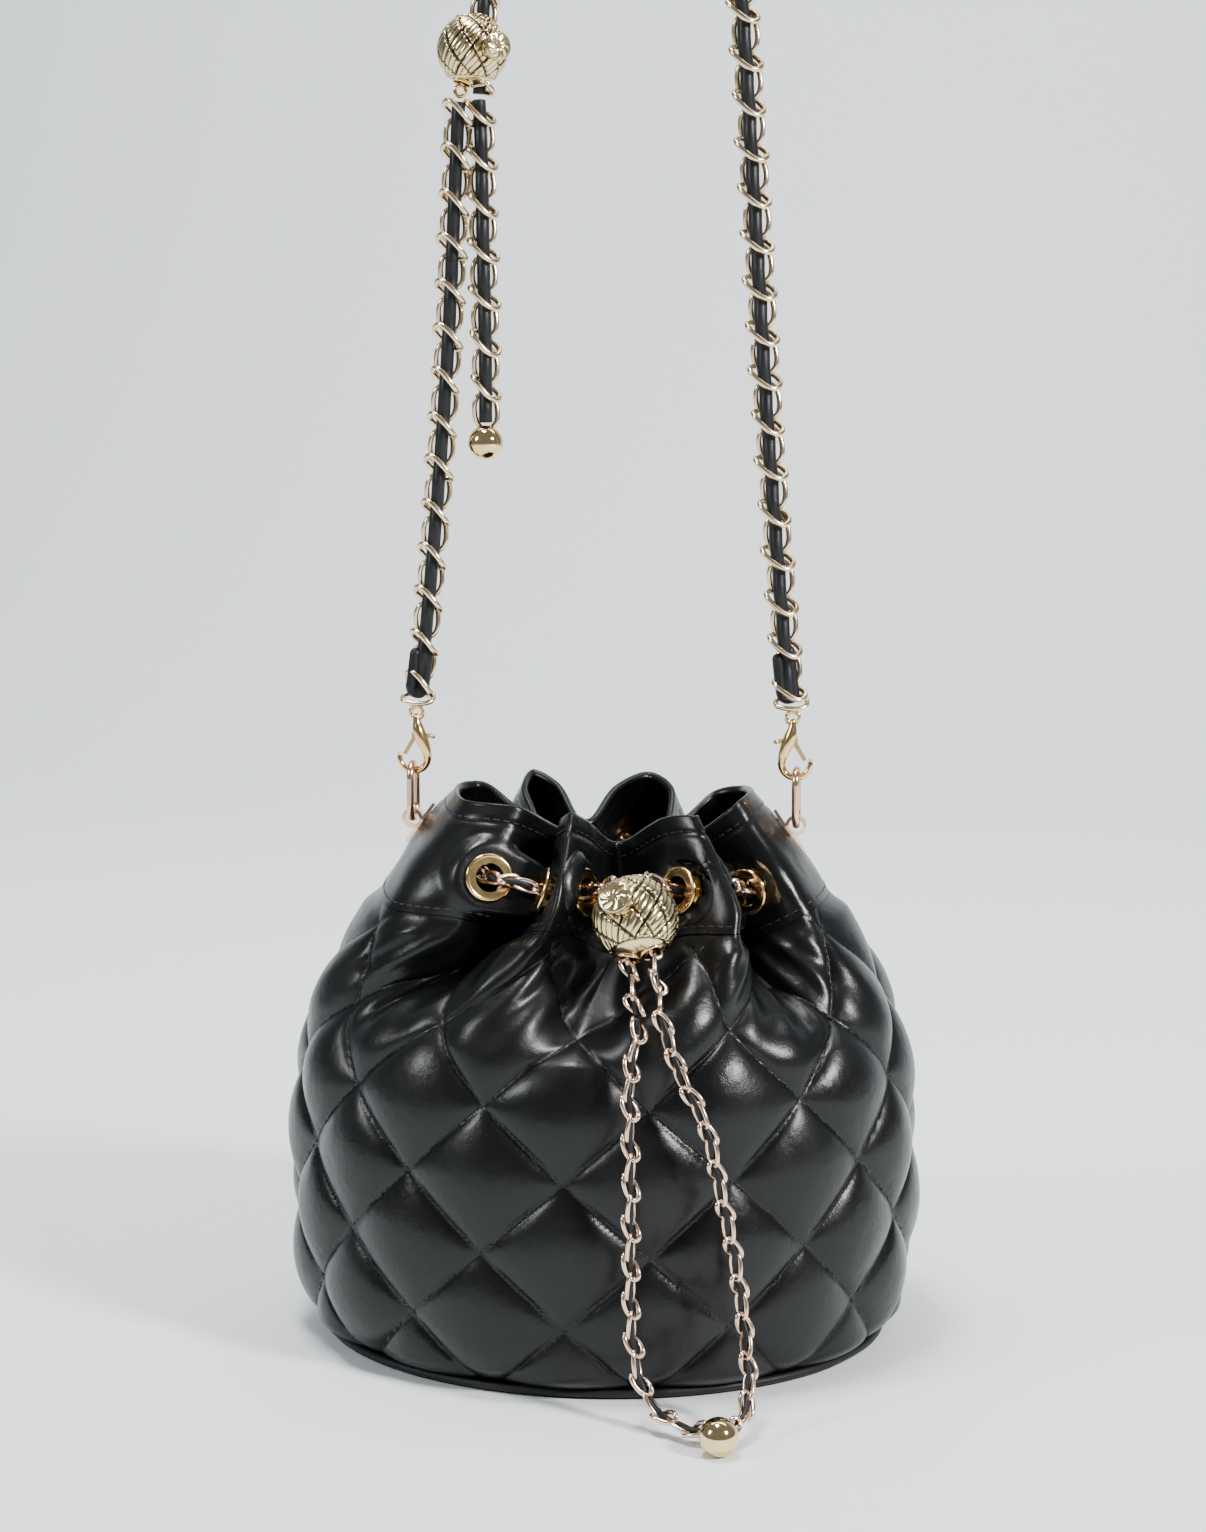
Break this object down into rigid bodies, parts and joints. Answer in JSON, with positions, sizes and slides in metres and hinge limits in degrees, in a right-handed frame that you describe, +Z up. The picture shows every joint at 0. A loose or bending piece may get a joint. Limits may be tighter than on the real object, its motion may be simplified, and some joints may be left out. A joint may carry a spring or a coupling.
{
  "type": "bucket bag",
  "caption": "Small quilted drawstring bucket bag with a gathered eyelet collar, a chain drawstring with ball cord lock, and a clip-on chain strap with a ball length adjuster.",
  "frame": {"origin": "centre of the base, on the surface the bag stands on", "axes": "+Z up, +X towards the ring on the side with the long strap strand, -Y towards the front, where the cord lock hangs"},
  "size_m": [0.19, 0.1999, 0.4512],
  "materials": {
    "leather_quilted": "quilted gloss black",
    "leather_collar": "smooth gloss black",
    "leather_base": "grained semi-gloss black",
    "lining_cloth": "matt woven",
    "base_card": "matt",
    "gold_eyelets": "polished yellow gold",
    "rose_gold": "polished rose gold",
    "gold_chain": "polished pale gold",
    "gold_lock": "engraved pale gold",
    "gold_balls": "mirror polished gold",
    "steel_spring": "drawn wire"
  },
  "bodies": {
    "bag": {"base_panel": "leather_base", "base_board": "base_card", "quilted_shell": "leather_quilted", "lining": "lining_cloth", "collar_band": "leather_collar", "collar_facing": "leather_collar", "eyelet_1": "gold_eyelets", "eyelet_2": "gold_eyelets", "eyelet_3": "gold_eyelets", "eyelet_4": "gold_eyelets", "eyelet_5": "gold_eyelets", "eyelet_6": "gold_eyelets", "eyelet_7": "gold_eyelets", "eyelet_8": "gold_eyelets", "eyelet_9": "gold_eyelets", "eyelet_10": "gold_eyelets", "eyelet_11": "gold_eyelets", "eyelet_12": "gold_eyelets", "eyelet_washers": "gold_eyelets", "bridge_left": "rose_gold", "bridge_right": "rose_gold", "bridge_rivets": "rose_gold", "drawstring_collar": "gold_chain"},
    "cord_lock": {"cord_lock_body": "gold_lock", "cord_lock_spring": "steel_spring"},
    "cord_lock_push": {"cord_lock_button": "gold_lock"},
    "drawstring_lower": {"drawstring_loop": "gold_chain", "drawstring_end_ball": "gold_balls"},
    "left_ring": {"ring_left": "rose_gold"},
    "right_ring": {"ring_right": "rose_gold"},
    "clasps": {"clasp_left": "gold_chain", "clasp_left_pin": "gold_chain", "clasp_left_spring": "steel_spring", "clasp_right": "gold_chain", "clasp_right_pin": "gold_chain", "clasp_right_spring": "steel_spring"},
    "left_lever": {"clasp_left_lever": "gold_chain"},
    "right_lever": {"clasp_right_lever": "gold_chain"},
    "strap": {"strap_short_strand": "gold_chain", "strap_long_strand": "gold_chain", "adjuster_body": "gold_lock", "adjuster_spring": "steel_spring", "adjuster_eye": "gold_chain"},
    "adjuster_push": {"adjuster_button": "gold_lock"},
    "tail": {"strap_tail": "gold_chain", "tail_end_ball": "gold_balls"}
  },
  "joints": [
    {"name": "cord_lock_slide", "type": "slide", "parent": "bag", "child": "cord_lock", "axis": [0.1996, -0.5389, -0.8184], "range_m": [0, 0.0135]},
    {"name": "cord_lock_press", "type": "slide", "parent": "cord_lock", "child": "cord_lock_push", "axis": [0.2217, 0.8383, -0.498], "range_m": [0, 0.003], "stiffness_N_per_m": 400, "springref_m": -0.004, "deforming": ["cord_lock_spring"]},
    {"name": "drawstring_swing", "type": "hinge", "parent": "bag", "child": "drawstring_lower", "pos_m": [0.02393, -0.07801, 0.11369], "axis": [-1, 0, 0], "range_deg": [0, 60]},
    {"name": "left_ring_swing", "type": "hinge", "parent": "bag", "child": "left_ring", "pos_m": [-0.0594, 0, 0.157], "axis": [0, 1, 0], "range_deg": [-20, 20]},
    {"name": "right_ring_swing", "type": "hinge", "parent": "bag", "child": "right_ring", "pos_m": [0.0594, 0, 0.157], "axis": [0, 1, 0], "range_deg": [-25, 25]},
    {"name": "clasp_hang", "type": "hinge", "parent": "left_ring", "child": "clasps", "pos_m": [-0.0594, 0, 0.174], "axis": [0, 1, 0], "range_deg": [-25, 25]},
    {"name": "left_clasp_lever", "type": "hinge", "parent": "clasps", "child": "left_lever", "pos_m": [-0.05821, 0, 0.18279], "axis": [0, -1, 0], "range_deg": [0, 14], "stiffness_Nm_per_rad": 0.02, "springref_deg": -17.19, "deforming": ["clasp_left_spring"]},
    {"name": "right_clasp_lever", "type": "hinge", "parent": "clasps", "child": "right_lever", "pos_m": [0.05821, 0, 0.18279], "axis": [0, 1, 0], "range_deg": [0, 14], "stiffness_Nm_per_rad": 0.02, "springref_deg": -17.19, "deforming": ["clasp_right_spring"]},
    {"name": "strap_fold", "type": "hinge", "parent": "clasps", "child": "strap", "pos_m": [-0.0577, 0, 0.1937], "axis": [1, 0, 0], "range_deg": [-85, 85]},
    {"name": "adjuster_press", "type": "slide", "parent": "strap", "child": "adjuster_push", "axis": [-0.6463, 0.7621, 0.0388], "range_m": [0, 0.0025], "stiffness_N_per_m": 400, "springref_m": -0.004, "deforming": ["adjuster_spring"]},
    {"name": "tail_swing", "type": "hinge", "parent": "strap", "child": "tail", "pos_m": [-0.0379, 0.002, 0.3755], "axis": [1, 0, 0], "range_deg": [-30, 30]}
  ],
  "couplings": [
    {"joint": "right_ring_swing", "follows": "left_ring_swing", "ratio": 1},
    {"joint": "clasp_hang", "follows": "left_ring_swing", "ratio": -1}
  ]
}
